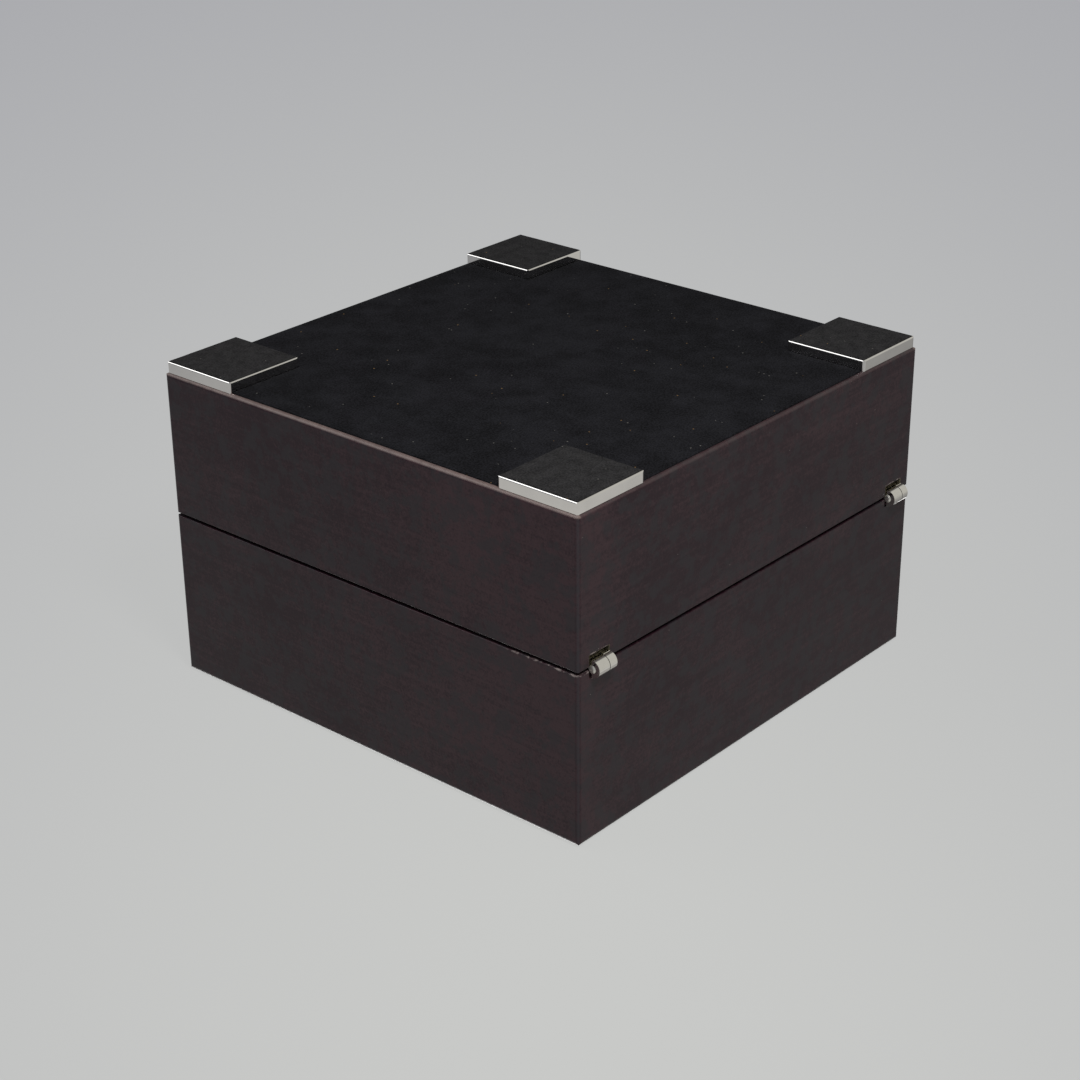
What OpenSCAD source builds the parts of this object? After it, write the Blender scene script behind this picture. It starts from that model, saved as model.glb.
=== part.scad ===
// Presentation case for one pocket watch: a square lacquered box on four metal feet.
// The lid turns on two small stop hinges let into the side walls at the back.
// Frame: +Z up, +Y towards the hinges, origin under the middle of the footprint.

/* [Case] */
// Outer width of the case, side to side
case_w = 140; // [130:1:160]
// Outer depth of the case, front to back
case_d = 140; // [134:1:160]
// Height of the wooden base
base_h = 39.8; // [38:0.1:48]
// Height of the wooden lid
lid_h = 46.8; // [44:0.1:60]
// Thickness of the four walls
wall_t = 13; // [12.5:0.5:14]
// Thickness of the bottom and top panels
panel_t = 6; // [5:0.5:7]
// How far a panel is let in under the walls
rebate_w = 5; // [4:0.5:6]
// Daylight between base and lid when the case is shut
seam_gap = 0.8; // [0.3:0.05:0.9]
// Rounding of the four upright corners
corner_r = 1.1; // [0.8:0.1:2]
// Rounding of the edges round the top of the lid
top_r = 1.5; // [1:0.1:2.5]
// Rounding of the edges round the bottom of the base
bottom_r = 1; // [0.6:0.1:1.4]
// Rounding of the base's edges at the seam
base_seam_r = 0.4; // [0.3:0.1:1]
// Rounding of the lid's edges at the seam
lid_seam_r = 0.2; // [0.2:0.1:1]

/* [Feet] */
// Side of each square metal foot
foot_w = 24; // [22:0.2:28]
// Thickness of each metal foot
foot_t = 3.1; // [2.5:0.1:4]
// Distance from each side of the case to the nearest foot
foot_in = 0.6; // [0:0.1:1]
// Metal rim left showing round each cloth pad
foot_rim = 0.5; // [0.5:0.1:1.2]
// Rounding of the edges round the face of each foot
foot_face_r = 0.4; // [0.2:0.1:0.4]
// Thickness of each cloth pad
pad_t = 0.6; // [0.5:0.1:0.8]
// Depth of the pocket that a cloth pad is glued into
pad_pocket = 0.4; // [0.2:0.05:0.4]
// Thickness of the cloth under the base
under_cloth_t = 0.4; // [0.4:0.1:0.8]
// Wood left showing round the cloth under the base
under_cloth_margin = 1.3; // [1.2:0.1:2]

/* [Hinges] */
// Width of a hinge leaf, and the length of its barrel
hinge_w = 6.5; // [6:0.1:7.2]
// Distance from the side of the case to the hinge
hinge_in = 4.4; // [3.4:0.1:4.8]
// Diameter of the barrel
barrel_d = 4.6; // [4.4:0.1:5.2]
// Distance from the back of the case out to the hinge axis
axis_out = 0.5; // [0.5:0.1:1.2]
// Thickness of a leaf
leaf_t = 2; // [1.6:0.1:2]
// Length of a leaf from the back of the case
leaf_l = 26; // [25:0.5:30]
// Diameter of the hinge pin
pin_d = 1.6; // [1.4:0.1:1.8]
// Angle at which the hinges stop the lid
stop_angle = 95; // [90:1:100]

/* [Watch holder] */
// Diameter of the largest watch that the seat takes
watch_d = 53.4; // [48:0.2:54]
// Slope of the watch, in degrees from level
tilt = 18; // [12:1:19]
// Height of the watch seat above the slope
seat_h = 8.5; // [7:0.5:9]
// Width of the gap in the seat for the crown and bow
bow_gap = 16; // [14:1:18]
// Length of the chain well, side to side
well_w = 84; // [70:1:90]
// Width of the chain well, front to back
well_d = 24; // [18:1:25]
// Depth of the chain well
well_h = 18; // [12:1:20]

/* [Lining] */
// Thickness of the boards that line the walls
liner_t = 1.6; // [1.2:0.1:2]
// Thickness of the lid cushion in its middle
cushion_t = 7.5; // [6:0.5:8]
// Diameter of the catch magnets
magnet_d = 6; // [5:0.5:8]

/* [Hidden] */
$fn = 48;
eps = 0.01;

// Levels, from the surface that the feet stand on
foot_z = pad_t - pad_pocket;
base_z = foot_z + foot_t;
rim_z = base_z + base_h;
seam_z = rim_z + seam_gap / 2;
lid_z = rim_z + seam_gap;
top_z = lid_z + lid_h;
floor_z = base_z + panel_t;
floor_lining_t = 1;
insert_z = floor_z + floor_lining_t + 0.1;
insert_h = 25.6;
insert_top = insert_z + insert_h;
ceiling_z = top_z - panel_t;
liner_step = 1;

// Plan sizes
inner_w = case_w - 2 * wall_t;
inner_d = case_d - 2 * wall_t;
lined_w = inner_w - 2 * liner_t;
lined_d = inner_d - 2 * liner_t;
panel_w = inner_w + 2 * rebate_w;
panel_d = inner_d + 2 * rebate_w;
insert_gap = 0.6;
insert_w = lined_w - 2 * insert_gap;
insert_d = lined_d - 2 * insert_gap;

// Hinges: the axis runs along X, just outside the back of the case
axis_y = case_d / 2 + axis_out;
barrel_r = barrel_d / 2;
frame_shift = (axis_out + barrel_r) / 2;
pin_r = pin_d / 2;
pin_play = 0.05;
lid_knuckle_w = 3.8;
knuckle_gap = 0.2;
base_knuckle_x = lid_knuckle_w + knuckle_gap;
base_knuckle_w = hinge_w - base_knuckle_x;
knuckle_clear = 0.2;
base_cove_clear = 1.3;
lid_cove_clear = 0.35;
cove_end_clear = 0.5;
mortise_clear = 0.1;
leaf_screw_y = [12, 20];
leaf_screw_r = 1.1;
leaf_screw_head_r = 2.1;
leaf_screw_l = 10;
screw_play = 0.05;
slot_w = 0.5;
slot_depth = 0.5;
peg_r = 0.35;
peg_orbit = (pin_r + pin_play + barrel_r) / 2;
peg_l = 0.7;
peg_start = -120;
peg_play = 0.08;
slot_end_play = 0.15;
stop_play = asin((peg_r + peg_play) / peg_orbit);
hinge_left_x = -case_w / 2 + hinge_in;
hinge_right_x = case_w / 2 - hinge_in - hinge_w;

// Feet
foot_screw_r = 1.4;
foot_screw_head_r = 2.5;
foot_screw_head_h = 1.3;
foot_screw_l = 5;
foot_edge_r = 0.7;
foot_back_r = 0.1;
foot_x = (case_w - foot_w) / 2 - foot_in;
foot_y = (case_d - foot_w) / 2 - foot_in;

// Watch holder
well_front = 6;
well_y = -insert_d / 2 + well_front;
well_lining_t = 0.8;
plinth_w = 96;
plinth_d = 70;
plinth_gap = 4;
plinth_y = well_y + well_d + plinth_gap;
plinth_front_h = 3;
plinth_back_h = plinth_front_h + plinth_d * tan(tilt);
slope_l = plinth_d / cos(tilt);
holder_w = 92;
holder_l = slope_l - 3;
holder_edge_t = 4.5;
holder_t = 8;
seat_r = watch_d / 2 + 0.3;
seat_wall = 1.2;
seat_floor_t = 1.2;
seat_along = seat_r + seat_wall + 6.3;
ribbon_w = 12;
ribbon_t = 0.8;
ribbon_slot = 1.2;
ribbon_above = 12;
ribbon_below = 14;

// Lid cushion
cushion_board_t = 1.5;
cushion_gap = 0.4;
cushion_edge_t = 3.6;

// Magnets sit just below the edges that meet
magnet_h = 2;
magnet_sink = 0.15;
magnet_x = 45;

wood = [0.17, 0.115, 0.11];
suede = [0.07, 0.07, 0.08];
steel = [0.80, 0.79, 0.76];
cream = [0.83, 0.77, 0.66];

module in_frame() {
    translate([0, -frame_shift, 0]) children();
}

// Rectangle centred on X from low to high, its lower and upper corners rounded apart
module rounded_profile(w, low, high, r_low, r_high) {
    translate([-w / 2, low + r_low]) square([w, high - low - r_low - r_high]);
    translate([-w / 2 + r_low, low]) square([w - 2 * r_low, r_low + eps]);
    translate([-w / 2 + r_high, high - r_high - eps]) square([w - 2 * r_high, r_high + eps]);
    for (s = [-1, 1]) {
        translate([s * (w / 2 - r_low), low + r_low]) circle(r_low);
        translate([s * (w / 2 - r_high), high - r_high]) circle(r_high);
    }
}

// Block of the case's own plan with all its outer edges rounded
module case_block(low, high, r_low, r_high) {
    intersection() {
        translate([0, 0, low]) linear_extrude(high - low)
            rounded_profile(case_w, -case_d / 2, case_d / 2, corner_r, corner_r);
        rotate([90, 0, 90]) linear_extrude(case_w + 2, center = true)
            rounded_profile(case_d, low, high, r_low, r_high);
        rotate([90, 0, 0]) linear_extrude(case_d + 2, center = true)
            rounded_profile(case_w, low, high, r_low, r_high);
    }
}

// Plan of one mitred wall of thickness t that stands against an outline of w by d
module mitred_plan(side, w, d, t, over = 0) {
    if (side == "back")
        polygon([[-w/2 - over, d/2 + over], [w/2 + over, d/2 + over], [w/2 - t, d/2 - t], [-w/2 + t, d/2 - t]]);
    if (side == "front") mirror([0, 1]) mitred_plan("back", w, d, t, over);
    if (side == "right")
        polygon([[w/2 + over, -d/2 - over], [w/2 + over, d/2 + over], [w/2 - t, d/2 - t], [w/2 - t, -d/2 + t]]);
    if (side == "left") mirror([1, 0]) mitred_plan("right", w, d, t, over);
}

module centred_box(w, d, low, high) {
    translate([-w / 2, -d / 2, low]) cube([w, d, high - low]);
}

// One wall of the base or the lid, still without its mortises
module plain_wall(side, low, high, r_low, r_high) {
    intersection() {
        case_block(low, high, r_low, r_high);
        translate([0, 0, low - 1]) linear_extrude(high - low + 2)
            mitred_plan(side, case_w, case_d, wall_t, 2);
    }
}

// Room for both hinges: a cove round each barrel and a mortise for each leaf
module hinge_cuts(leaf_low, cove_clear) {
    for (x = [hinge_left_x, hinge_right_x]) {
        along_axis(x - cove_end_clear, barrel_r + cove_clear, hinge_w + 2 * cove_end_clear);
        leaf_outline(x, leaf_low, leaf_t + (seam_gap / 2), mortise_clear);
        for (y = leaf_screw_y)
            translate([x + hinge_w / 2, case_d / 2 - y, seam_z - leaf_t - leaf_screw_l])
                cylinder(r = leaf_screw_r + screw_play, h = 2 * (leaf_t + leaf_screw_l));
    }
}

// A leaf's outline: straight sides and a round end, as a router cuts it
module leaf_outline(x, low, h, clear) {
    r = hinge_w / 2 + clear;
    translate([x - clear, case_d / 2 - leaf_l + hinge_w / 2, low])
        cube([hinge_w + 2 * clear, leaf_l - hinge_w / 2 + axis_out, h]);
    translate([x + hinge_w / 2, case_d / 2 - leaf_l + hinge_w / 2, low]) cylinder(r = r, h = h);
}

module magnets(low, high, clear = 0) {
    for (s = [-1, 1])
        translate([s * magnet_x, -case_d / 2 + wall_t / 2, low])
            cylinder(d = magnet_d + 2 * clear, h = high - low);
}

module base_wall(side) {
    color(wood) difference() {
        plain_wall(side, base_z, rim_z, bottom_r, base_seam_r);
        centred_box(panel_w, panel_d, base_z - 1, floor_z);
        if (side == "front") magnets(rim_z - magnet_h - magnet_sink, rim_z + 1, screw_play);
        else hinge_cuts(rim_z - leaf_t, base_cove_clear);
    }
}

module lid_wall(side) {
    color(wood) difference() {
        plain_wall(side, lid_z, top_z, lid_seam_r, top_r);
        centred_box(panel_w, panel_d, ceiling_z, top_z + 1);
        if (side == "front") magnets(lid_z - 1, lid_z + magnet_h + magnet_sink, screw_play);
        else hinge_cuts(lid_z - seam_gap / 2, lid_cove_clear);
    }
}

module base_bottom_panel() {
    color(wood) difference() {
        centred_box(panel_w, panel_d, base_z, floor_z);
        at_feet() translate([0, 0, base_z - 1]) cylinder(r = foot_screw_r + screw_play, h = foot_screw_l + 1.2);
    }
}

module lid_top_panel() {
    color(wood) centred_box(panel_w, panel_d, ceiling_z, top_z);
}

// Calls its children at the middle of each foot
module at_feet() {
    for (sx = [-1, 1], sy = [-1, 1]) at_foot(sx, sy) children();
}

module at_foot(sx, sy) {
    translate([sx * foot_x, sy * foot_y, 0]) children();
}

// Cloth over the underside, cut away round the feet
module underside_cloth() {
    color(suede) difference() {
        centred_box(case_w - 2 * under_cloth_margin, case_d - 2 * under_cloth_margin,
            base_z - under_cloth_t, base_z);
        at_feet() centred_box(foot_w + 0.2, foot_w + 0.2, base_z - 1, base_z + 1);
    }
}

// Plated foot with a shallow pocket for its pad and a countersunk hole under the pad
module foot(sx, sy) {
    pad_w = foot_w - 2 * foot_rim;
    color(steel) at_foot(sx, sy) difference() {
        intersection() {
            translate([0, 0, foot_z]) linear_extrude(foot_t)
                rounded_profile(foot_w, -foot_w / 2, foot_w / 2, foot_edge_r, foot_edge_r);
            rotate([90, 0, 90]) linear_extrude(foot_w + 2, center = true)
                rounded_profile(foot_w, foot_z, base_z, foot_face_r, foot_back_r);
            rotate([90, 0, 0]) linear_extrude(foot_w + 2, center = true)
                rounded_profile(foot_w, foot_z, base_z, foot_face_r, foot_back_r);
        }
        centred_box(pad_w + 0.1, pad_w + 0.1, foot_z - 1, foot_z + pad_pocket);
        translate([0, 0, foot_z + pad_pocket - eps])
            cylinder(r1 = foot_screw_head_r + 0.1, r2 = foot_screw_r + 0.1, h = foot_screw_head_h);
        cylinder(r = foot_screw_r + 0.1, h = base_z + 1);
    }
}

module foot_pad(sx, sy) {
    pad_w = foot_w - 2 * foot_rim;
    color(suede) at_foot(sx, sy) centred_box(pad_w, pad_w, 0, pad_t);
}

// Countersunk screws, each from under a pad up into the bottom panel
module foot_screws() {
    head_z = foot_z + pad_pocket + 0.05;
    color(steel) at_feet() difference() {
        union() {
            translate([0, 0, head_z])
                cylinder(r1 = foot_screw_head_r, r2 = foot_screw_r, h = foot_screw_head_h);
            translate([0, 0, head_z + foot_screw_head_h - eps])
                cylinder(r = foot_screw_r, h = base_z + foot_screw_l - head_z - foot_screw_head_h);
        }
        centred_box(2 * foot_screw_head_r, slot_w, head_z - 1, head_z + slot_depth);
    }
}

// Covered board against the inside of one wall
module liner(side, low, high) {
    color(suede) translate([0, 0, low]) linear_extrude(high - low)
        mitred_plan(side, inner_w, inner_d, liner_t);
}

module base_liner(side) {
    liner(side, floor_z, rim_z - liner_step);
}

module lid_liner(side) {
    liner(side, lid_z + liner_step, ceiling_z);
}

module base_floor_lining() {
    color(suede) centred_box(lined_w - 0.2, lined_d - 0.2, floor_z, floor_z + floor_lining_t);
}

// Lift-out block that carries the watch, with a pocket for the chain at its front
module insert_block() {
    color(suede) difference() {
        translate([0, 0, insert_z]) linear_extrude(insert_h)
            rounded_profile(insert_w, -insert_d / 2, insert_d / 2, 2, 2);
        translate([-well_w / 2, well_y, insert_top - well_h]) cube([well_w, well_d, well_h + 1]);
        translate([insert_w / 2 - ribbon_slot, -ribbon_w / 2 - 0.3, insert_top - ribbon_below])
            cube([ribbon_slot + 1, ribbon_w + 0.6, ribbon_below + 1]);
    }
}

module chain_well_lining() {
    t = well_lining_t;
    color(suede) difference() {
        translate([-well_w / 2, well_y, insert_top - well_h]) cube([well_w, well_d, well_h]);
        translate([-well_w / 2 + t, well_y + t, insert_top - well_h + t])
            cube([well_w - 2 * t, well_d - 2 * t, well_h]);
    }
}

// Wedge that tips the watch towards whoever opens the lid
module watch_plinth() {
    color(suede) translate([-plinth_w / 2, plinth_y, insert_top]) rotate([90, 0, 90])
        linear_extrude(plinth_w)
            polygon([[0, 0], [plinth_d, 0], [plinth_d, plinth_back_h], [0, plinth_front_h]]);
}

// Places children on the slope: X across, Y up the slope from its lower edge, Z off the slope
module on_slope() {
    translate([0, plinth_y, insert_top + plinth_front_h]) rotate([tilt, 0, 0]) children();
}

// Outline of a cushion at angle a: rounded corners, with sides that draw in between them
function cushion_outline(a, w, d, draw) =
    let (c = cos(a), s = sin(a), n = 7,
         k = pow(pow(abs(c), n) + pow(abs(s), n), -1 / n),
         x = c * k, y = s * k)
    [w / 2 * x * (1 - draw * (1 - y * y) * x * x), d / 2 * y * (1 - draw * (1 - x * x) * y * y)];

// Rings of a cushion from its flat back to its crown: [share of the outline, height]
function cushion_rings(edge_t, mid_t, steps = 6) = concat(
    [[0.985, 0], [1, 0.35 * edge_t], [0.99, 0.8 * edge_t]],
    [for (i = [0 : steps - 1])
        let (s = 0.97 * (1 - i / steps)) [s, edge_t + (mid_t - edge_t) * (1 - pow(s, 2.4))]]);

// Crowned cushion of triangles, its flat back on Z = 0
module cushion(w, d, edge_t, mid_t, draw, around = 64) {
    rings = cushion_rings(edge_t, mid_t);
    count = len(rings);
    points = concat(
        [for (r = rings, j = [0 : around - 1])
            let (p = cushion_outline(360 * j / around, w, d, draw)) [r[0] * p[0], r[0] * p[1], r[1]]],
        [[0, 0, 0], [0, 0, mid_t]]);
    back = count * around;
    sides = [for (i = [0 : count - 2], j = [0 : around - 1], half = [0, 1])
        let (a = i * around + j, b = i * around + (j + 1) % around)
        half == 0 ? [a, a + around, b] : [b, a + around, b + around]];
    bottom = [for (j = [0 : around - 1]) [back, j, (j + 1) % around]];
    crown = [for (j = [0 : around - 1])
        [back + 1, (count - 1) * around + (j + 1) % around, (count - 1) * around + j]];
    polyhedron(points, concat(sides, bottom, crown));
}

// Soft surround of the watch, glued to the slope
module watch_cushion() {
    color(cream) on_slope() difference() {
        translate([0, slope_l / 2, 0.05]) cushion(holder_w, holder_l, holder_edge_t, holder_t, 0.025);
        translate([0, seat_along, -1]) cylinder(r = seat_r + seat_wall + 0.1, h = 20);
        translate([-bow_gap / 2, seat_along, -1]) cube([bow_gap, slope_l, 20]);
    }
}

// Stiff ring that the watch drops into, open at the top for its crown and bow
module watch_seat_ring() {
    color(suede) on_slope() translate([0, seat_along, seat_floor_t + 0.05]) difference() {
        cylinder(r = seat_r + seat_wall, h = seat_h - seat_floor_t);
        translate([0, 0, -1]) cylinder(r = seat_r, h = seat_h + 2);
        translate([-bow_gap / 2, 0, -1]) cube([bow_gap, seat_r + 5, seat_h + 2]);
    }
}

module watch_seat_floor() {
    color(suede) on_slope() translate([0, seat_along, 0.05])
        cylinder(r = seat_r + seat_wall, h = seat_floor_t);
}

// Ribbon loop at the right of the insert, to lift it out by
module lift_ribbon() {
    color(cream) translate([insert_w / 2 - ribbon_t - 0.2, 0, insert_top - ribbon_below + 0.2])
        rotate([90, 0, 90]) linear_extrude(ribbon_t) {
            translate([-ribbon_w / 2, 0]) square([ribbon_w, ribbon_below + ribbon_above - 2]);
            translate([-ribbon_w / 2 + 2, 0]) square([ribbon_w - 4, ribbon_below + ribbon_above]);
            for (s = [-1, 1]) translate([s * (ribbon_w / 2 - 2), ribbon_below + ribbon_above - 2]) circle(2);
        }
}

module along_axis(x, r, l) {
    translate([x, axis_y, seam_z]) rotate([0, 90, 0]) cylinder(r = r, h = l);
}

// Point that orbits the hinge axis: angle 0 is towards the front of the case, 90 is up
module round_axis(x, angle) {
    translate([x, axis_y, seam_z]) rotate([-angle, 0, 0]) children();
}

module leaf_screw_holes(x, low, face) {
    head_h = leaf_screw_head_r - leaf_screw_r;
    for (y = leaf_screw_y) translate([x + hinge_w / 2, case_d / 2 - y, low]) {
        translate([0, 0, -1]) cylinder(r = leaf_screw_r + screw_play, h = leaf_t + 2);
        if (face > 0) translate([0, 0, leaf_t - head_h])
            cylinder(r1 = leaf_screw_r + screw_play, r2 = leaf_screw_head_r + 0.1, h = head_h + eps);
        else translate([0, 0, -eps])
            cylinder(r1 = leaf_screw_head_r + 0.1, r2 = leaf_screw_r + screw_play, h = head_h);
    }
}

// Base half of a hinge: the narrow knuckle grips the pin, and the lid half's peg runs in its slot
module hinge_base_leaf(x) {
    slot_turn = -90 - peg_start - stop_angle - stop_play;
    color(steel) difference() {
        union() {
            leaf_outline(x, rim_z - leaf_t, leaf_t, 0);
            along_axis(x + base_knuckle_x, barrel_r, base_knuckle_w);
        }
        along_axis(x - 1, barrel_r + knuckle_clear, base_knuckle_x + 1);
        along_axis(x - 1, pin_r, hinge_w + 2);
        translate([x + base_knuckle_x - eps, axis_y, seam_z]) rotate([0, 90, 0]) rotate([0, 0, slot_turn])
            rotate_extrude(angle = stop_angle + 2 * stop_play)
                translate([peg_orbit - peg_r - peg_play, 0])
                    square([2 * (peg_r + peg_play), peg_l - knuckle_gap + slot_end_play]);
        leaf_screw_holes(x, rim_z - leaf_t, 1);
    }
}

// Lid half of a hinge: the wide knuckle, with the peg that stops the lid
module hinge_lid_leaf(x) {
    color(steel) difference() {
        union() {
            leaf_outline(x, lid_z, leaf_t, 0);
            along_axis(x, barrel_r, lid_knuckle_w);
            round_axis(x + lid_knuckle_w - eps, peg_start) translate([0, -peg_orbit, 0])
                rotate([0, 90, 0]) cylinder(r = peg_r, h = peg_l);
        }
        difference() {
            along_axis(x + lid_knuckle_w, barrel_r + knuckle_clear, hinge_w - lid_knuckle_w + 1);
            round_axis(x + lid_knuckle_w - 1, peg_start) translate([0, -peg_orbit, 0])
                rotate([0, 90, 0]) cylinder(r = peg_r, h = peg_l + 1);
        }
        along_axis(x - 1, pin_r + pin_play, hinge_w + 2);
        leaf_screw_holes(x, lid_z, -1);
    }
}

// Hinge pin with a low domed head at each end
module hinge_pin(x) {
    head_r = 1.1;
    head_h = 0.25;
    color(steel) {
        along_axis(x - head_h, pin_r, hinge_w + 2 * head_h);
        for (end = [[x - head_h - 0.05, -1], [x + hinge_w + 0.05, 1]])
            translate([end[0], axis_y, seam_z]) rotate([0, 90, 0]) intersection() {
                cylinder(r = head_r, h = head_h);
                translate([0, 0, end[1] > 0 ? -1.6 : 1.6 + head_h]) sphere(r = 1.95);
            }
    }
}

// Countersunk screws through the leaves: face 1 for the base, -1 for the lid
module leaf_screws(face) {
    head_h = leaf_screw_head_r - leaf_screw_r;
    top = face > 0 ? rim_z - 0.05 : lid_z + 0.05;
    color(steel) for (x = [hinge_left_x, hinge_right_x], y = leaf_screw_y)
        translate([x + hinge_w / 2, case_d / 2 - y, top]) mirror([0, 0, face > 0 ? 1 : 0]) difference() {
            union() {
                cylinder(r1 = leaf_screw_head_r, r2 = leaf_screw_r, h = head_h);
                translate([0, 0, head_h - eps]) cylinder(r = leaf_screw_r, h = leaf_screw_l - head_h);
            }
            centred_box(2 * leaf_screw_head_r, slot_w, -1, slot_depth);
        }
}

module lid_cushion_board() {
    color(suede) centred_box(lined_w - 2 * cushion_gap, lined_d - 2 * cushion_gap,
        ceiling_z - cushion_board_t, ceiling_z);
}

// Crowned cushion that faces down from the lid
module lid_cushion() {
    color(cream) translate([0, 0, ceiling_z - cushion_board_t]) mirror([0, 0, 1])
        cushion(lined_w - 2 * cushion_gap, lined_d - 2 * cushion_gap, cushion_edge_t, cushion_t, 0.012);
}

module catch_magnets(low) {
    color(steel) magnets(low, low + magnet_h);
}

in_frame() base_wall("front");  // base_front_wall
in_frame() base_wall("back");  // base_back_wall
in_frame() base_wall("left");  // base_left_wall
in_frame() base_wall("right");  // base_right_wall
in_frame() base_bottom_panel();
in_frame() underside_cloth();
in_frame() foot(-1, -1);  // foot_front_left
in_frame() foot(1, -1);  // foot_front_right
in_frame() foot(-1, 1);  // foot_back_left
in_frame() foot(1, 1);  // foot_back_right
in_frame() foot_pad(-1, -1);  // foot_pad_front_left
in_frame() foot_pad(1, -1);  // foot_pad_front_right
in_frame() foot_pad(-1, 1);  // foot_pad_back_left
in_frame() foot_pad(1, 1);  // foot_pad_back_right
in_frame() foot_screws();
in_frame() base_liner("front");  // base_liner_front
in_frame() base_liner("back");  // base_liner_back
in_frame() base_liner("left");  // base_liner_left
in_frame() base_liner("right");  // base_liner_right
in_frame() base_floor_lining();
in_frame() insert_block();
in_frame() chain_well_lining();
in_frame() watch_plinth();
in_frame() watch_cushion();
in_frame() watch_seat_ring();
in_frame() watch_seat_floor();
in_frame() lift_ribbon();
in_frame() hinge_base_leaf(hinge_left_x);  // hinge_left_base_leaf
in_frame() hinge_lid_leaf(hinge_left_x);  // hinge_left_lid_leaf
in_frame() hinge_pin(hinge_left_x);  // hinge_left_pin
in_frame() hinge_base_leaf(hinge_right_x);  // hinge_right_base_leaf
in_frame() hinge_lid_leaf(hinge_right_x);  // hinge_right_lid_leaf
in_frame() hinge_pin(hinge_right_x);  // hinge_right_pin
in_frame() leaf_screws(1);  // hinge_base_screws
in_frame() leaf_screws(-1);  // hinge_lid_screws
in_frame() lid_wall("front");  // lid_front_wall
in_frame() lid_wall("back");  // lid_back_wall
in_frame() lid_wall("left");  // lid_left_wall
in_frame() lid_wall("right");  // lid_right_wall
in_frame() lid_top_panel();
in_frame() lid_liner("front");  // lid_liner_front
in_frame() lid_liner("back");  // lid_liner_back
in_frame() lid_liner("left");  // lid_liner_left
in_frame() lid_liner("right");  // lid_liner_right
in_frame() lid_cushion_board();
in_frame() lid_cushion();
in_frame() catch_magnets(rim_z - magnet_h - magnet_sink);  // catch_magnets_base
in_frame() catch_magnets(lid_z + magnet_sink);  // catch_magnets_lid
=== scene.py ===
import math

import bpy
from mathutils import Matrix, Vector, noise


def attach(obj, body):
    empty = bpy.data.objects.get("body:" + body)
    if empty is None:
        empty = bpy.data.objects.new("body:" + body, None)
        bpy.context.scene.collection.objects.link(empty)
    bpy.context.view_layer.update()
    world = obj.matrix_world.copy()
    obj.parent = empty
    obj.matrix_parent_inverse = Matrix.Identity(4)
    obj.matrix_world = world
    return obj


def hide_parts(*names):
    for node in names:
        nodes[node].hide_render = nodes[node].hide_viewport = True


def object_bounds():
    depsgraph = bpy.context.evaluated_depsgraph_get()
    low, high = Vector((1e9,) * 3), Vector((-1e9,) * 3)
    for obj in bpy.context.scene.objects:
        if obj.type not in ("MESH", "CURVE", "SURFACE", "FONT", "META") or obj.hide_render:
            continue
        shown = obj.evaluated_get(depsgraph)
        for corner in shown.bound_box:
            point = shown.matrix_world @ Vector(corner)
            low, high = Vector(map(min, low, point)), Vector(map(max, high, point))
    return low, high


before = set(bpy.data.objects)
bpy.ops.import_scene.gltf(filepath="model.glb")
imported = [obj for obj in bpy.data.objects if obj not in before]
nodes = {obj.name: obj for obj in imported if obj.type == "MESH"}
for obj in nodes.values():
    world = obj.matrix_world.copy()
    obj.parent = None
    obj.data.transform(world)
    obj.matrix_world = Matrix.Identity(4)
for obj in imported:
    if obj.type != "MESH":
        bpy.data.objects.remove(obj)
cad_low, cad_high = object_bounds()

# The camera stands where the photograph's did. The photograph shows the case standing upside down on its lid,
# so this camera looks up at the underside from behind the left back corner, and is rolled half a turn.
camera_azimuth = 228.949
camera_elevation = -25.420
camera_roll = 179.453
camera_place = Vector((-0.41835, 0.36067, -0.20725))
camera_lens = 74.95
sensor = 36


def direction(azimuth, elevation):
    """The way from the case to something seen from this azimuth and elevation, in degrees."""
    a, e = math.radians(azimuth), math.radians(elevation)
    return Vector((math.sin(a) * math.cos(e), -math.cos(a) * math.cos(e), math.sin(e)))


def facing(back, roll=0):
    """The rotation of a camera or lamp that looks along -back, Z up before it is rolled by some degrees."""
    side = Vector((0, 0, 1)).cross(back).normalized()
    over = back.cross(side)
    r = math.radians(roll)
    across = math.cos(r) * side + math.sin(r) * over
    up = math.cos(r) * over - math.sin(r) * side
    return Matrix((across, up, back)).transposed()


scene = bpy.context.scene
camera = bpy.data.objects.new("camera", bpy.data.cameras.new("camera"))
camera.data.lens = camera_lens
camera.data.sensor_width = sensor
camera.data.clip_start = 0.01
camera.data.clip_end = 50
view_rotation = facing(direction(camera_azimuth, camera_elevation), camera_roll)
camera.matrix_world = Matrix.Translation(camera_place) @ view_rotation.to_4x4()
scene.collection.objects.link(camera)
scene.camera = camera
scene.view_settings.view_transform = "Standard"

# A pale table in soft light that mostly glows: its glow is a painted pool of light, brightest in front of the
# case. There are two: one under the feet, seen from above, and one that the lid stands on in the photograph,
# seen from below. Each is clear from its other side, and only the camera sees them, so that neither shades
# the case.
table_size = 6
table_gap = 0.0002
table_glow = 0.94
table_matt = (0.8, 0.8, 0.79)
table_glow_far = (0.375, 0.379, 0.408)
table_glow_near = (0.564, 0.570, 0.558)
pool_heading = 228.87
pool_middle = 0.17
pool_length = 0.72
pool_width = 0.27


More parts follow.
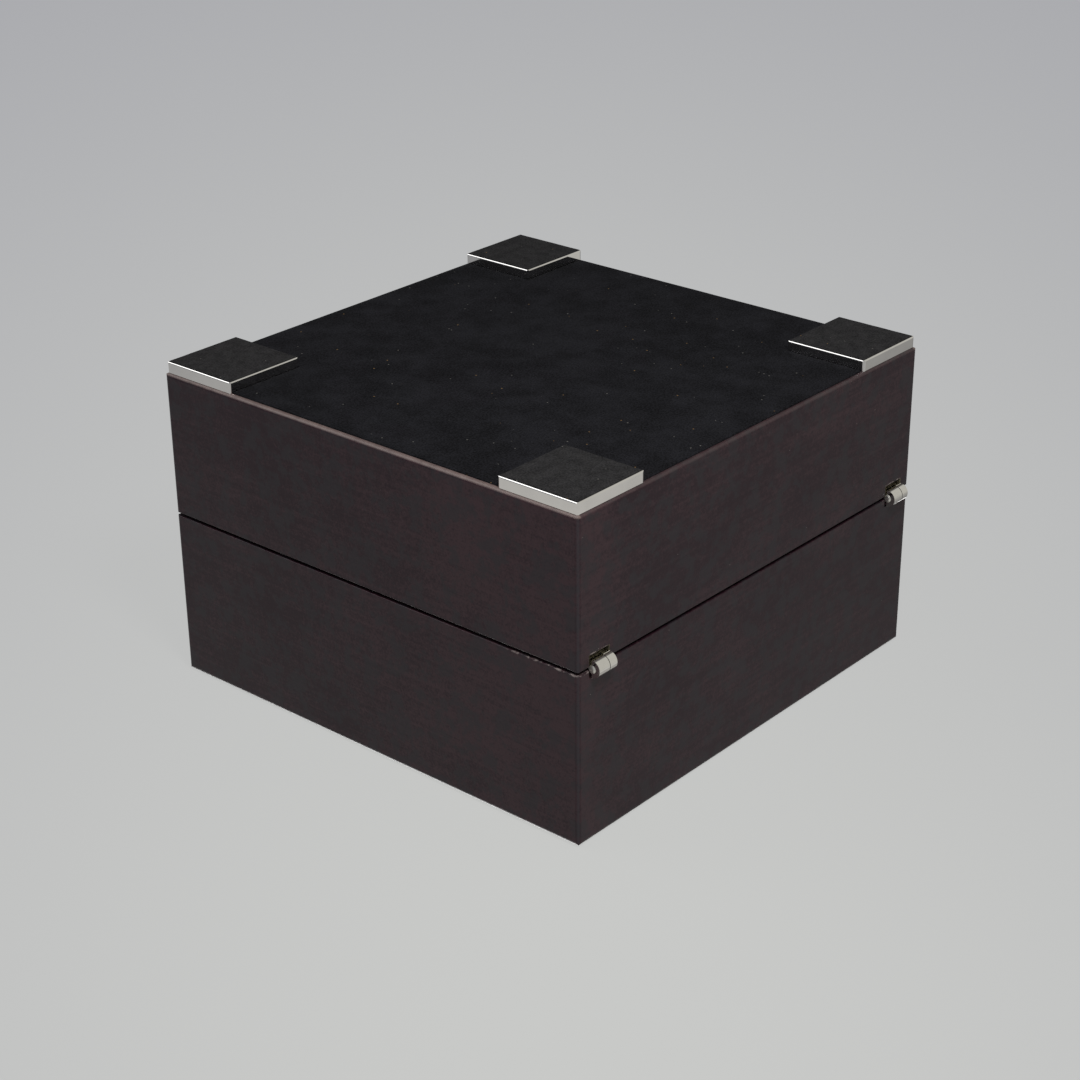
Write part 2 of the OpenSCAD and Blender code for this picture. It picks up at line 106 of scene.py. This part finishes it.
class Wire:
    """One output of a material's nodes. Arithmetic on wires adds Math nodes to the same material."""

    def __init__(self, tree, socket=None):
        self.tree = tree
        self.socket = socket

    def node(self, kind, settings, inputs, out=0):
        """A node of this kind, its settings made first, then its inputs set to numbers or joined to wires."""
        made = self.tree.nodes.new(kind)
        for name, value in settings.items():
            setattr(made, name, value)
        for name, value in inputs.items():
            if isinstance(value, Wire):
                self.tree.links.new(value.socket, made.inputs[name])
            else:
                made.inputs[name].default_value = value
        return Wire(self.tree, made.outputs[out] if made.outputs else None)

    def math(self, operation, *values):
        return self.node("ShaderNodeMath", {"operation": operation}, dict(enumerate(values)))

    def __add__(self, other):
        return self.math("ADD", self, other)

    def __sub__(self, other):
        return self.math("SUBTRACT", self, other)

    def __rsub__(self, other):
        return self.math("SUBTRACT", other, self)

    def __mul__(self, other):
        return self.math("MULTIPLY", self, other)

    def __truediv__(self, other):
        return self.math("DIVIDE", self, other)

    def __rtruediv__(self, other):
        return self.math("DIVIDE", other, self)

    def __abs__(self):
        return self.math("ABSOLUTE", self)

    __radd__ = __add__
    __rmul__ = __mul__

    def rise(self, low, high):
        """0 where this wire is below low, 1 above high, and a smooth step between. low may be the larger."""
        settings = {"interpolation_type": "SMOOTHSTEP"}
        return self.node("ShaderNodeMapRange", settings, {"Value": self, "From Min": low, "From Max": high})

    def mix(self, first, second):
        """first where this wire is 0, second where it is 1: colours or wires of colours."""
        inputs = {0: self, 6: first, 7: second}
        for place in (6, 7):
            if not isinstance(inputs[place], Wire):
                inputs[place] = (*inputs[place], 1)
        return self.node("ShaderNodeMix", {"data_type": "RGBA"}, inputs, out=2)

    def axes(self):
        """The x, y and z of a wire that carries a place."""
        made = self.node("ShaderNodeSeparateXYZ", {}, {0: self})
        return [Wire(self.tree, socket) for socket in made.socket.node.outputs]

    def place(self, x, y, z):
        return self.node("ShaderNodeCombineXYZ", {}, {0: x, 1: y, 2: z})

    def noise(self, size, detail, roughness, where):
        """Cloudy noise from 0 to 1 with lumps of this size, in the units of the place it is read at."""
        inputs = {"Vector": where, "Scale": 1 / size, "Detail": detail, "Roughness": roughness}
        return self.node("ShaderNodeTexNoise", {"noise_dimensions": "3D"}, inputs)


def table_material():
    """A table that mostly glows in a painted pool of light, takes a faint shadow, and can't be seen from
    behind.
    """
    material = bpy.data.materials.new("table")
    material.use_nodes = True
    material.node_tree.nodes.clear()
    w = Wire(material.node_tree)
    x, y, _ = w.node("ShaderNodeTexCoord", {}, {}, out="Object").axes()
    heading = direction(pool_heading, 0)
    along = (x * heading.x + y * heading.y - pool_middle) / pool_length
    across = (y * heading.x - x * heading.y) / pool_width
    pool = 1 / (1 + along * along + across * across)
    # painted pool of light: the table glows brighter in front of the case
    glow = w.node("ShaderNodeEmission", {}, {"Color": pool.mix(table_glow_far, table_glow_near)})
    matt = w.node("ShaderNodeBsdfDiffuse", {}, {"Color": (*table_matt, 1)})
    solid = w.node("ShaderNodeMixShader", {}, {0: table_glow, 1: matt, 2: glow})
    clear = w.node("ShaderNodeBsdfTransparent", {}, {})
    behind = w.node("ShaderNodeNewGeometry", {}, {}, out="Backfacing")
    shown = w.node("ShaderNodeMixShader", {}, {0: behind, 1: solid, 2: clear})
    w.node("ShaderNodeOutputMaterial", {}, {"Surface": shown})
    return material


table_finish = table_material()
reach = table_size / 2
for name, height, up in (("table_under_feet", cad_low.z, 1), ("table_under_lid", cad_high.z, -1)):
    sheet = bpy.data.meshes.new(name)
    table_corners = [(reach * x, reach * y * up, 0) for x, y in ((-1, -1), (1, -1), (1, 1), (-1, 1))]
    sheet.from_pydata(table_corners, [], [(0, 1, 2, 3)])
    table = bpy.data.objects.new(name, sheet)
    table.location = (0, 0, height - up * table_gap)
    table.data.materials.append(table_finish)
    scene.collection.objects.link(table)
    for ray in ("diffuse", "glossy", "transmission", "volume_scatter", "shadow"):
        setattr(table, "visible_" + ray, False)

# The light from all round: what the pale table gives back on the lid's side of the case, less of it close to
# the case's own shade, and a dimmer, cooler room on the side of its feet. The room has a dark end, a bright
# wall on the side of the hinges, and a dim stretch beside that wall.
table_light = (0.530, 0.520, 0.503)
shade_light = (0.375, 0.367, 0.355)
room_light = (0.25, 0.255, 0.27)
dark_light = (0.03, 0.03, 0.033)
wall_light = (0.50, 0.49, 0.46)
dark_end = direction(48.9, -25.5)
bright_wall = direction(127, -20)
dim_side = direction(95, 12)
dim_light = (0.15, 0.15, 0.155)
dim_share = 0.85
world = bpy.data.worlds.new("studio")
world.use_nodes = True
sky = Wire(world.node_tree)
way = sky.node("ShaderNodeTexCoord", {}, {}, out="Generated")
_, _, height = way.axes()


def nearness(middle):
    """1 straight towards the middle of a part of the room, falling with the angle from it."""
    return sky.node("ShaderNodeVectorMath", {"operation": "DOT_PRODUCT"}, {0: way, 1: middle}, out="Value")


room = nearness(dark_end).rise(0.55, 0.85).mix(room_light, dark_light)
room = nearness(bright_wall).rise(0.66, 0.80).mix(room, wall_light)
by_table = height.rise(0.50, 0.62).mix(table_light, shade_light)
around = height.rise(0.27, 0.47).mix(room, by_table)
around = (nearness(dim_side).rise(0.80, 0.95) * dim_share).mix(around, dim_light)
world.node_tree.links.new(around.socket, world.node_tree.nodes["Background"].inputs["Color"])
scene.world = world

# Soft round lamps: azimuth, elevation, distance, size and watts. The first two are the photograph's, a big
# one over the left of the underside and a small near one. The others light a case that stands on its feet.
for azimuth, elevation, distance, size, watts in (
    (324, -46, 1.0, 0.70, 2.3),
    (214, -52, 0.5, 0.14, 1.5),
    (15, 62, 1.1, 0.7, 4.5),
    (60, 35, 1.2, 0.8, 2.5),
):
    lamp = bpy.data.objects.new("lamp", bpy.data.lights.new("lamp", "AREA"))
    lamp.data.shape = "DISK"
    lamp.data.size = size
    lamp.data.energy = watts
    to_lamp = direction(azimuth, elevation)
    case_middle = (cad_low + cad_high) / 2
    lamp.matrix_world = Matrix.Translation(case_middle + to_lamp * distance) @ facing(to_lamp).to_4x4()
    scene.collection.objects.link(lamp)

# The wooden case: mitred walls round a bottom panel and a top panel, stained a very dark brown and sprayed
# with a thin satin lacquer. The lid's lower edge is worn through at the left back corner, the edge under the
# base is rubbed pale and painted lighter as a highlight, the upright corners carry a painted highlight, the
# wood is bare in the notches for the hinge barrels, and their upper arris is partly worn, partly a painted
# highlight.
MM = 0.001
wood_dark = (0.0150, 0.0046, 0.0088)
wood_warm = (0.0385, 0.0180, 0.0225)
wood_grey = (0.0185, 0.0165, 0.0200)
# painted highlight on the upright corners
painted_corner_highlight = (0.044, 0.043, 0.048)
wood_pore = (0.004, 0.002, 0.003)
# rubbed wood that also stands in as a painted highlight on the edge under the base
wood_rubbed_and_highlight = (0.160, 0.118, 0.108)
# bare wood, also used as a painted highlight on the notches' upper arris
wood_bare_and_highlight = (0.21, 0.175, 0.165)
wood_raw = (0.12, 0.105, 0.070)
dust = (0.20, 0.18, 0.165)
grain_long = 55
grain_short = 1.1
figure_size = 22
mottle_size = 2.2
patch_size = 4.5
eased = 0.9
wall_half = 70
middle_y = -1.4
base_low_z = 3.3
lid_edge_z = 43.9
seam_z = 43.5
lighter_length = 110
worn_length = 24
worn_round_corner = 4.5
rub_and_highlight_start = 1.5
rub_and_highlight_full = 1.0
back_rub_and_highlight = 0.2
hinge_axis = 69.1
hinge_middle = 62.35
notch_half = 3.75
notch_radius = 3.6
notch_low_z = 39.93


def finish(name, constants):
    """A new material, its one shader with the sockets set that are the same all over."""
    material = bpy.data.materials.new(name)
    material.use_nodes = True
    shader = material.node_tree.nodes["Principled BSDF"]
    for socket, value in constants.items():
        shader.inputs[socket].default_value = value
    return material, Wire(material.node_tree), shader


def feed(w, shader, socket, wire):
    w.tree.links.new(wire.socket, shader.inputs[socket])


def millimetres(w):
    """The place on the piece, in millimetres of the case's own frame."""
    spot = w.node("ShaderNodeTexCoord", {}, {}, out="Object")
    return w.node("ShaderNodeVectorMath", {"operation": "SCALE"}, {0: spot, "Scale": 1 / MM})


def bump(w, height):
    """A normal for heights in millimetres."""
    return w.node("ShaderNodeBump", {}, {"Height": height * MM, "Distance": 1.0, "Strength": 1.0})


def specks(w, spot, spacing, radius, share):
    """1 on small round specks: about one to a cell of this spacing, on this share of the cells."""
    cells = {"Vector": spot, "Scale": 1 / spacing, "Randomness": 1.0}
    far = w.node("ShaderNodeTexVoronoi", {"feature": "F1"}, cells, out="Distance")
    lucky, _, _ = w.node("ShaderNodeTexVoronoi", {"feature": "F1"}, cells, out="Color").axes()
    return far.rise(radius / spacing, radius / spacing * 0.5) * lucky.math("LESS_THAN", lucky, share)


def lacquer(name, along):
    """Stained and lacquered wood whose grain runs along X or Y."""
    material, w, shader = finish(name, {"Specular IOR Level": 0.30})
    spot = millimetres(w)
    x, y, z = spot.axes()
    if along == "X":
        streaky = w.place(x / grain_long, y / grain_short, z / grain_short)
    else:
        streaky = w.place(x / grain_short, y / grain_long, z / grain_short)
    grain = w.noise(1, 5, 0.62, streaky)
    figure = w.noise(figure_size, 2, 0.5, spot)
    mottle = w.noise(mottle_size, 3, 0.65, spot)
    fine = w.noise(0.6, 2, 0.6, spot)
    pores = w.noise(0.34, 2, 0.7, streaky).rise(0.64, 0.78)
    greyer = w.noise(patch_size, 4, 0.65, spot).rise(0.46, 0.60)
    uneven = w.noise(3.5, 3, 0.6, spot).rise(0.2, 0.7)

    # The stain, a little lighter towards the left back corner
    corner_start = wall_half * worn_round_corner + middle_y + wall_half
    from_corner = x * worn_round_corner - y + corner_start
    lighter = from_corner.rise(lighter_length, 0) * 0.10
    tone = (grain * 0.3 + figure * 0.2 + mottle * 0.25 + fine * 0.35 + lighter).rise(0.49, 0.70)
    colour = (greyer * 0.65).mix(tone.mix(wood_dark, wood_warm), wood_grey)

    # The upright corners, lighter as a painted highlight, and the edge under the base, rubbed pale and also
    # painted lighter as a highlight, more on its sides than at its ends
    deep = y - middle_y
    side = abs(x).rise(wall_half - eased, wall_half - 0.1)
    end = abs(deep).rise(wall_half - eased, wall_half - 0.1)
    colour = (side * end * 0.75).mix(colour, painted_corner_highlight)
    side_rim = abs(x).rise(wall_half - rub_and_highlight_start, wall_half - rub_and_highlight_full)
    end_rim = abs(deep).rise(wall_half - rub_and_highlight_start, wall_half - rub_and_highlight_full) * back_rub_and_highlight
    low_edge = side_rim.math("MAXIMUM", side_rim, end_rim) * z.rise(base_low_z + 0.8, base_low_z + 0.3)
    rub_and_highlight = low_edge * (uneven * 0.4 + 0.6)

    # Bare wood: cut in the notches for the barrels and worn on the lid's lower edge. The notches' upper arris
    # is paler too, partly worn bare and partly a painted highlight
    by_hinge = abs(abs(x) - hinge_middle).rise(notch_half + 0.1, notch_half)
    from_axis = (y - hinge_axis) * (y - hinge_axis) + (z - seam_z) * (z - seam_z)
    in_notch = from_axis.rise((notch_radius + 0.06) ** 2, (notch_radius + 0.02) ** 2)
    raw = by_hinge * in_notch * z.rise(seam_z, seam_z - 0.2)
    back = deep.rise(wall_half - eased, wall_half - 0.1)
    # a pale line on the notches' upper arris, partly worn and partly a painted highlight
    arris = by_hinge * back * abs(z - notch_low_z + 0.15).rise(0.28, 0.12)
    lid_edge = side.math("MAXIMUM", side, end) * abs(z - lid_edge_z - 0.1).rise(0.4, 0.2)
    lid_corner = from_corner.rise(worn_length, worn_length * 0.7) * lid_edge
    wear_and_highlight = lid_corner.math("MAXIMUM", lid_corner, arris)
    bare_and_highlight = wear_and_highlight * w.noise(1.6, 3, 0.6, spot).rise(0.45, 0.60)

    colour = (pores * 0.6).mix(colour, wood_pore)
    colour = raw.mix(colour, wood_raw)
    colour = rub_and_highlight.mix(colour, wood_rubbed_and_highlight)
    colour = bare_and_highlight.mix(colour, wood_bare_and_highlight)
    colour = specks(w, spot, 3, 0.14, 0.2).mix(colour, dust)
    feed(w, shader, "Base Color", colour)
    feed(w, shader, "Roughness", w.noise(14, 3, 0.6, spot) * 0.08 + mottle * 0.08 + bare_and_highlight * 0.3 + 0.28)
    feed(w, shader, "Normal", bump(w, mottle * 0.022 + fine * 0.004 - pores * 0.004))
    return material


def dress(material, *names):
    """Gives CAD nodes this material."""
    for name in names:
        for slot in nodes[name].material_slots:
            slot.material = material


wood_across = lacquer("lacquered_wood_across", "X")
wood_deep = lacquer("lacquered_wood_deep", "Y")
for part in ("base", "lid"):
    dress(wood_across, part + "_front_wall", part + "_back_wall")
    dress(wood_deep, part + "_left_wall", part + "_right_wall")
dress(wood_across, "base_bottom_panel", "lid_top_panel")

# Near-black suede cloth glued over the underside of the base and cut out round the feet. Its nap lies in soft
# patches that catch the light a little differently, and it has picked up faint specks of lint.
cloth_dark = (0.0040, 0.0038, 0.0042)
cloth_light = (0.0180, 0.0180, 0.0210)
cloth_lint = 0.30
lint = (0.12, 0.115, 0.105)
yellow_lint = (0.17, 0.105, 0.045)
cloth_low = 2.9
cloth_high = 3.3
cloth_half = 68.7
foot_middle = 57.4
foot_half = 12
foot_gap = 0.1
cloth_arm = foot_middle - foot_half - foot_gap


def suede(name, dark, light, lint_share, nap, patch):
    """Short-napped cloth with lint on a share of its cells, and its nap stroked in patches of this size."""
    constants = {"Specular IOR Level": 0.0, "Sheen Weight": 0.02, "Sheen Roughness": 0.5}
    material, w, shader = finish(name, constants)
    spot = millimetres(w)
    stroke = w.noise(patch, 3, 0.6, spot).rise(0.3, 0.72)
    fibre = w.noise(0.5, 2, 0.7, spot)
    colour = (stroke * 0.4 + fibre.rise(0.34, 0.66) * 0.6).mix(dark, light)
    colour = specks(w, spot, 3, 0.26, lint_share).mix(colour, lint)
    moved = w.node("ShaderNodeVectorMath", {}, {0: spot, 1: (3.1, 7.7, 1.3)})
    colour = specks(w, moved, 3.5, 0.28, lint_share).mix(colour, yellow_lint)
    feed(w, shader, "Base Color", colour)
    feed(w, shader, "Roughness", fibre * 0.1 + 0.88)
    feed(w, shader, "Normal", bump(w, (fibre + w.noise(1.1, 2, 0.6, spot) * 0.8) * nap))
    return material


def piece(name, points, faces, material, node, slot, body):
    """A mesh from points in millimetres, smooth, that stands for a CAD node and rides on its body."""
    mesh = bpy.data.meshes.new(name)
    mesh.from_pydata([Vector(p) * MM for p in points], [], faces)
    mesh.shade_smooth()
    mesh.materials.append(material)
    made = bpy.data.objects.new(name, mesh)
    scene.collection.objects.link(made)
    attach(made, body)
    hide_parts(node)
    return made


def cloth_lines(halves, soft, cell):
    """Where the cuts across a piece of cloth lie: close together at its edges, a cell apart between them."""
    insets = [inset * soft for inset in (0, 0.2, 0.5, 1)]
    marks = sorted({sign * (half - inset) for half in halves for inset in insets for sign in (-1, 1)})
    lines = marks[:1]
    for a, b in zip(marks, marks[1:]):
        steps = max(1, round((b - a) / cell))
        lines += [a + (b - a) * k / steps for k in range(1, steps + 1)]
    return lines


def cut_cloth(name, halves, middle, low, high, soft, ripple, lump, cell, **kept):
    """Cloth that faces down, its outline a union of rectangles round its middle, with a soft cut edge."""
    across = cloth_lines([half[0] for half in halves], soft, cell)
    along = cloth_lines([half[1] for half in halves], soft, cell)

    def inside(x, y):
        return max(min(half[0] - abs(x), half[1] - abs(y)) for half in halves)

    def height(x, y):
        drop = max(0, soft - max(0, inside(x, y)))
        wave = noise.noise(Vector((x + middle[0], y + middle[1], low)) / lump) * 0.5 + 0.5
        return low + soft - math.sqrt(soft * soft - drop * drop) + wave * ripple

    cells = {(i, j) for i in range(len(across) - 1) for j in range(len(along) - 1)
             if inside((across[i] + across[i + 1]) / 2, (along[j] + along[j + 1]) / 2) > 0}
    points, faces, index = [], [], {}

    def point(i, j, back):
        if (i, j, back) not in index:
            index[i, j, back] = len(points)
            x, y = across[i], along[j]
            points.append((x + middle[0], y + middle[1], high if back else height(x, y)))
        return index[i, j, back]

    for i, j in sorted(cells):
        corners = [(i, j), (i, j + 1), (i + 1, j + 1), (i + 1, j)]
        faces.append([point(*c, False) for c in corners])
        faces.append([point(*c, True) for c in reversed(corners)])
        neighbours = [(i - 1, j), (i, j + 1), (i + 1, j), (i, j - 1)]
        for a, b, beside in zip(corners, corners[1:] + corners[:1], neighbours):
            if beside not in cells:
                faces.append([point(*b, False), point(*a, False), point(*a, True), point(*b, True)])
    return piece(name, points, faces, **kept)


underside_finish = suede("underside_suede", cloth_dark, cloth_light, cloth_lint, nap=0.05, patch=9)
cloth_arms = [(cloth_half, cloth_arm), (cloth_arm, cloth_half)]
underside = cut_cloth("underside_suede_cloth", cloth_arms, (0, middle_y), cloth_low, cloth_high,
                      soft=0.25, ripple=0.06, lump=11, cell=2.2, material=underside_finish,
                      node="underside_cloth", slot="underside_suede", body="base")

# Four square feet of polished nickel plate, screwed up through the middle into the bottom panel. Their
# rounded rims catch the light.
nickel = (0.88, 0.865, 0.83)


def plated(name, colour, rough, scratch):
    """Bright plated metal with faint smudges and hairline scratches."""
    material, w, shader = finish(name, {"Metallic": 1.0})
    spot = millimetres(w)
    x, y, z = spot.axes()
    smudge = w.noise(5, 3, 0.6, spot).rise(0.35, 0.75)
    feed(w, shader, "Base Color", (smudge * 0.5).mix(colour, tuple(c * 0.9 for c in colour)))
    feed(w, shader, "Roughness", smudge * 0.06 + rough)
    hair = w.noise(1, 2, 0.5, w.place(x / 6, y / 6, z / 0.15))
    feed(w, shader, "Normal", bump(w, hair * scratch))
    return material


def soften(width, *names):
    """Breaks the sharp edges of CAD nodes with a bevel of this width in millimetres."""
    for name in names:
        weld = nodes[name].modifiers.new("join_faces", "WELD")
        weld.merge_threshold = 1e-6
        bevel = nodes[name].modifiers.new("soft_edges", "BEVEL")
        bevel.width = width * MM
        bevel.segments = 3
        bevel.limit_method = "ANGLE"
        bevel.angle_limit = math.radians(40)
        bevel.use_clamp_overlap = True
        even = nodes[name].modifiers.new("even_faces", "WEIGHTED_NORMAL")
        even.keep_sharp = False


feet = {front + "_" + side: (x, y)
        for front, y in (("front", -1), ("back", 1)) for side, x in (("left", -1), ("right", 1))}
foot_nodes = ["foot_" + corner for corner in feet]
dress(plated("foot_nickel", nickel, 0.04, 0.0008), *foot_nodes)

# A square pad of charcoal felt is glued into the shallow pocket under each foot. It is a little paler than
# the suede, and has picked up the same lint.
pad_dark = (0.0120, 0.0116, 0.0118)
pad_light = (0.0370, 0.0357, 0.0362)
pad_half = 11.5
pad_thick = 0.6
pad_finish = suede("foot_felt", pad_dark, pad_light, cloth_lint, nap=0.07, patch=3)
for corner, (x, y) in feet.items():
    pad_middle = (x * foot_middle, y * foot_middle + middle_y)
    pad = cut_cloth("foot_felt_" + corner, [(pad_half, pad_half)], pad_middle, 0, pad_thick,
                    soft=0.16, ripple=0.05, lump=3.5, cell=1, material=pad_finish,
                    node="foot_pad_" + corner, slot="foot_pad_suede", body="base")

# Plated steel screws: one up through each foot, hidden by its pad, and two through each hinge leaf. Their
# heads are countersunk.
steel = (0.62, 0.61, 0.59)
dress(plated("screw_steel", steel, 0.25, 0.002), "foot_screws", "hinge_base_screws", "hinge_lid_screws")

# Two small stop hinges of polished nickel. Their leaves are let into the edges of the side walls and their
# barrels stand out at the back. The ends of the pins are peened over and left rougher.
hinge_nickel = (0.88, 0.865, 0.815)
pin_nickel = (0.95, 0.94, 0.86)
leaves = ["hinge_" + side + "_" + part + "_leaf" for side in ("left", "right") for part in ("base", "lid")]
dress(plated("hinge_nickel", hinge_nickel, 0.10, 0.001), *leaves)
dress(plated("peened_pin_ends", pin_nickel, 0.38, 0.001), "hinge_left_pin", "hinge_right_pin")

# Inside, boards covered with charcoal suede line the walls and the floor. A lift-out block of the same cloth
# holds the chain well and the sloped plinth that carries the watch.
lining_dark = (0.013, 0.013, 0.015)
lining_light = (0.028, 0.028, 0.032)
walls = ("front", "back", "left", "right")
liners = [part + "_liner_" + side for part in ("base", "lid") for side in walls]
covered = liners + ["base_floor_lining", "insert_block", "chain_well_lining", "watch_plinth",
                    "watch_seat_ring", "watch_seat_floor", "lid_cushion_board"]
dress(suede("lining_suede", lining_dark, lining_light, 0.02, nap=0.04, patch=14), *covered)
soften(0.5, *liners)
soften(0.9, "insert_block", "watch_plinth")
soften(0.35, "watch_seat_ring")

# Cushions of ivory satin over padding: a thick one glued under the lid, and one on the slope round the watch.
# Each is a sewn cover, a little too big for its padding, that is blown up from inside where nothing holds it.
satin_shade = (0.47, 0.40, 0.30)
satin_light = (0.64, 0.56, 0.44)
solver_scale = 10
cushion_back = 83.2
tilt = math.radians(18)
slope_start = Vector((0, -22.2, 39))
slope_up = Vector((0, math.cos(tilt), math.sin(tilt)))
slope_out = Vector((0, -math.sin(tilt), math.cos(tilt)))
seat_along = 34.5
seat_hole = 28.3
bow_half = 8
held_edge = 0.9
glued_foot = 0.8
blow_steps = 20


def satin(name):
    """Ivory satin: a fine weave with a soft sheen."""
    constants = {"Sheen Weight": 0.25, "Sheen Roughness": 0.35, "Specular IOR Level": 0.4}
    material, w, shader = finish(name, constants)
    spot = millimetres(w)
    x, y, z = spot.axes()
    cloud = w.noise(7, 2, 0.5, spot)
    thread = w.noise(1, 1, 0.5, w.place(x / 0.22, y / 2.4, z / 0.22))
    feed(w, shader, "Base Color", (cloud * 0.6 + thread * 0.4).mix(satin_shade, satin_light))
    feed(w, shader, "Roughness", thread * 0.12 + 0.36)
    feed(w, shader, "Normal", bump(w, thread * 0.02))
    return material


def scaled(mesh, size):
    mesh.transform(Matrix.Scale(size, 4))
    return mesh


def evaluated(made):
    """A new mesh of what an object's modifiers make of it now."""
    graph = bpy.context.evaluated_depsgraph_get()
    return bpy.data.meshes.new_from_object(made.evaluated_get(graph))


def plump(name, node, body, voxel, held, loose, pressure, cap):
    """A stuffed cover in the CAD cushion's form. held tells the places that are glued or sewn down."""
    start = bpy.data.objects.new(name + "_start", scaled(nodes[node].data.copy(), solver_scale))
    scene.collection.objects.link(start)
    remesh = start.modifiers.new("even_cells", "REMESH")
    remesh.mode = "VOXEL"
    remesh.voxel_size = voxel * MM * solver_scale
    cover = bpy.data.objects.new(name, evaluated(start))
    bpy.data.objects.remove(start)
    scene.collection.objects.link(cover)
    before = [v.co.copy() for v in cover.data.vertices]
    pins = cover.vertex_groups.new(name="held")
    pins.add([i for i, at in enumerate(before) if held(at / (MM * solver_scale))], 1, "REPLACE")
    cloth = cover.modifiers.new("cloth", "CLOTH")
    cloth.settings.quality = 6
    cloth.settings.mass = 0.2
    cloth.settings.bending_stiffness = 0.05
    cloth.settings.vertex_group_mass = pins.name
    cloth.settings.shrink_min = -loose
    cloth.settings.use_pressure = True
    cloth.settings.uniform_pressure_force = pressure
    cloth.settings.effector_weights.gravity = 0
    cloth.collision_settings.use_collision = False
    cloth.point_cache.frame_start = 1
    cloth.point_cache.frame_end = blow_steps
    for step in range(1, blow_steps + 1):
        scene.frame_set(step)
    blown = evaluated(cover)
    scene.frame_set(1)
    cover.modifiers.remove(cloth)
    cover.vertex_groups.clear()
    furthest = cap * MM * solver_scale
    for point, was, now in zip(cover.data.vertices, before, blown.vertices):
        moved = now.co - was
        point.co = was + moved * (furthest / (furthest + moved.length))
    bpy.data.meshes.remove(blown)
    scaled(cover.data, 1 / solver_scale)
    cover.data.materials.clear()
    cover.data.materials.append(ivory)
    cover.data.shade_smooth()
    even = cover.modifiers.new("even", "SMOOTH")
    even.factor = 0.5
    even.iterations = 5
    smooth = cover.modifiers.new("smooth", "SUBSURF")
    smooth.levels = smooth.render_levels = 1
    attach(cover, body)
    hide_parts(node)
    return cover


def on_board(at):
    """True for what is glued to the board in the lid."""
    return at.z > cushion_back - held_edge


def on_slope_or_ring(at):
    """True for what is glued to the slope or sewn along the ring and the gap for the watch's bow."""
    along = (at - slope_start).dot(slope_up)
    out = (at - slope_start).dot(slope_out)
    by_ring = math.hypot(at.x, along - seat_along) < seat_hole + held_edge
    by_gap = abs(at.x) < bow_half + held_edge and along > seat_along
    return out < glued_foot or by_ring or by_gap


ivory = satin("ivory_satin")
plump("lid_satin_cushion", "lid_cushion", "lid", 2.4, on_board, loose=0.05, pressure=3, cap=1.6)
plump("watch_satin_cushion", "watch_cushion", "base", 1.6, on_slope_or_ring, loose=0.05, pressure=3, cap=1.2)

# A ribbon of the same satin lifts the block out. It is folded into a loop, and both its ends are glued in a
# slot at the right of the block.
ribbon_half = 6
ribbon_x = 54.25
ribbon_low = 22.4
ribbon_top = 48.1
ribbon_open = 1.0
ribbon_lean = 0.9
ribbon_thick = 0.3
ribbon_shut = 0.22
ribbon_leaves_slot = 34
ribbon_bend = 1.4


def loop_point(t):
    """The ribbon's x and z, from one end at t = -1, over the top at 0, to the other at 1."""
    z = ribbon_low + (ribbon_top - ribbon_low) * math.sin((1 - abs(t)) * math.pi / 2) ** 0.9
    high = max(0, (z - ribbon_leaves_slot) / (ribbon_top - ribbon_leaves_slot))
    leg = ribbon_shut + (ribbon_open - ribbon_shut) * high ** 1.5
    over_bend = max(0, (z - (ribbon_top - ribbon_bend)) / ribbon_bend)
    round_top = math.sqrt(max(0, 1 - over_bend ** 2))
    side = 1 if t < 0 else -1
    return ribbon_x - ribbon_lean * high ** 2 + side * leg * round_top, z


ribbon_steps = 72
ribbon_cells = 8
path = [loop_point(2 * k / ribbon_steps - 1) for k in range(ribbon_steps + 1)]
row = ribbon_cells + 1
across = [middle_y + ribbon_half * (2 * j / ribbon_cells - 1) for j in range(row)]
ribbon_points = [(x, y, z) for x, z in path for y in across]
ribbon_faces = [(i * row + j, i * row + j + 1, (i + 1) * row + j + 1, (i + 1) * row + j)
                for i in range(ribbon_steps) for j in range(ribbon_cells)]
ribbon = piece("lift_satin_ribbon", ribbon_points, ribbon_faces, ivory, "lift_ribbon", "ribbon_satin", "base")
cloth_body = ribbon.modifiers.new("thickness", "SOLIDIFY")
cloth_body.thickness = ribbon_thick * MM
cloth_body.offset = 0

# Two pairs of plated disc magnets hold the lid shut. They are glued into blind holes in the edges of the
# front walls.
dress(plated("magnet_plating", steel, 0.2, 0.001), "catch_magnets_base", "catch_magnets_lid")
